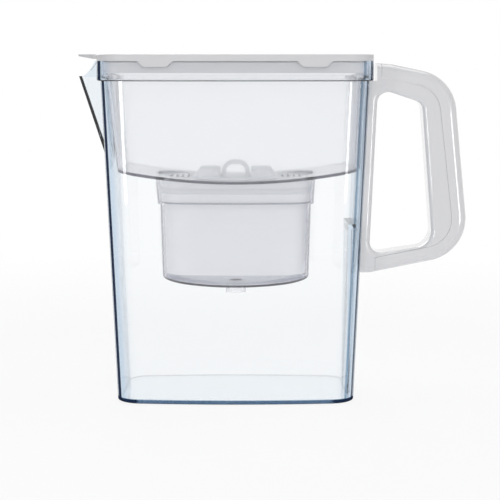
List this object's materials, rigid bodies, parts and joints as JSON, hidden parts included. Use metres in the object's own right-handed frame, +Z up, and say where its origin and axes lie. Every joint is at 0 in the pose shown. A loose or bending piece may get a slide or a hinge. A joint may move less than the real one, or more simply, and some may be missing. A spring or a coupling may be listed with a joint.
{
  "type": "water filter pitcher",
  "caption": "Clear tapered jug with a V spout, closed loop handle, hanging reservoir funnel, lift-out filter cartridge and a lid with pour flap and refill hatch.",
  "frame": {"origin": "centre of the jug's flat base, on the surface it stands on", "axes": "+Z up, +X toward the handle, -X toward the spout, Y across the jug"},
  "size_m": [0.2719, 0.112, 0.2399],
  "materials": {
    "clear_body": "clear, glossy, faint blue in the edges",
    "white_gloss": "white, glossy",
    "smoky_clear": "frosted grey, translucent",
    "cartridge_shell": "white, satin",
    "seal_rubber": "pale grey elastomer",
    "screen_mesh": "fine white mesh",
    "carbon": "loose dark granules",
    "beads": "loose pale beads"
  },
  "bodies": {
    "pitcher": {"pitcher_body": "clear_body", "handle_frame": "white_gloss", "handle_cover": "white_gloss"},
    "funnel": {"reservoir_funnel": "smoky_clear"},
    "lid": {"lid_shell": "white_gloss"},
    "flap": {"pour_flap": "white_gloss"},
    "hatch": {"refill_hatch": "white_gloss"},
    "cartridge": {"cartridge_housing": "cartridge_shell", "cartridge_cap": "cartridge_shell", "cartridge_seal": "seal_rubber", "cartridge_top_screen": "screen_mesh", "cartridge_middle_screen": "screen_mesh", "cartridge_bottom_screen": "screen_mesh", "carbon_granules": "carbon", "softener_beads": "beads"}
  },
  "joints": [
    {"name": "funnel_lift", "type": "slide", "parent": "pitcher", "child": "funnel", "axis": [0, 0, 1], "range_m": [0, 0.165]},
    {"name": "lid_lift", "type": "slide", "parent": "funnel", "child": "lid", "axis": [0, 0, 1], "range_m": [0, 0.208]},
    {"name": "cartridge_lift", "type": "slide", "parent": "funnel", "child": "cartridge", "axis": [0, 0, 1], "range_m": [0, 0.156]},
    {"name": "flap_hinge", "type": "hinge", "parent": "lid", "child": "flap", "pos_m": [-0.0918, 0, 0.2383], "axis": [0, 1, 0], "range_deg": [0, 85]},
    {"name": "hatch_hinge", "type": "hinge", "parent": "lid", "child": "hatch", "pos_m": [0.068, 0, 0.2379], "axis": [0, 1, 0], "range_deg": [0, 90]}
  ],
  "couplings": [
    {"joint": "cartridge_lift", "follows": "lid_lift", "ratio": 0.75}
  ]
}
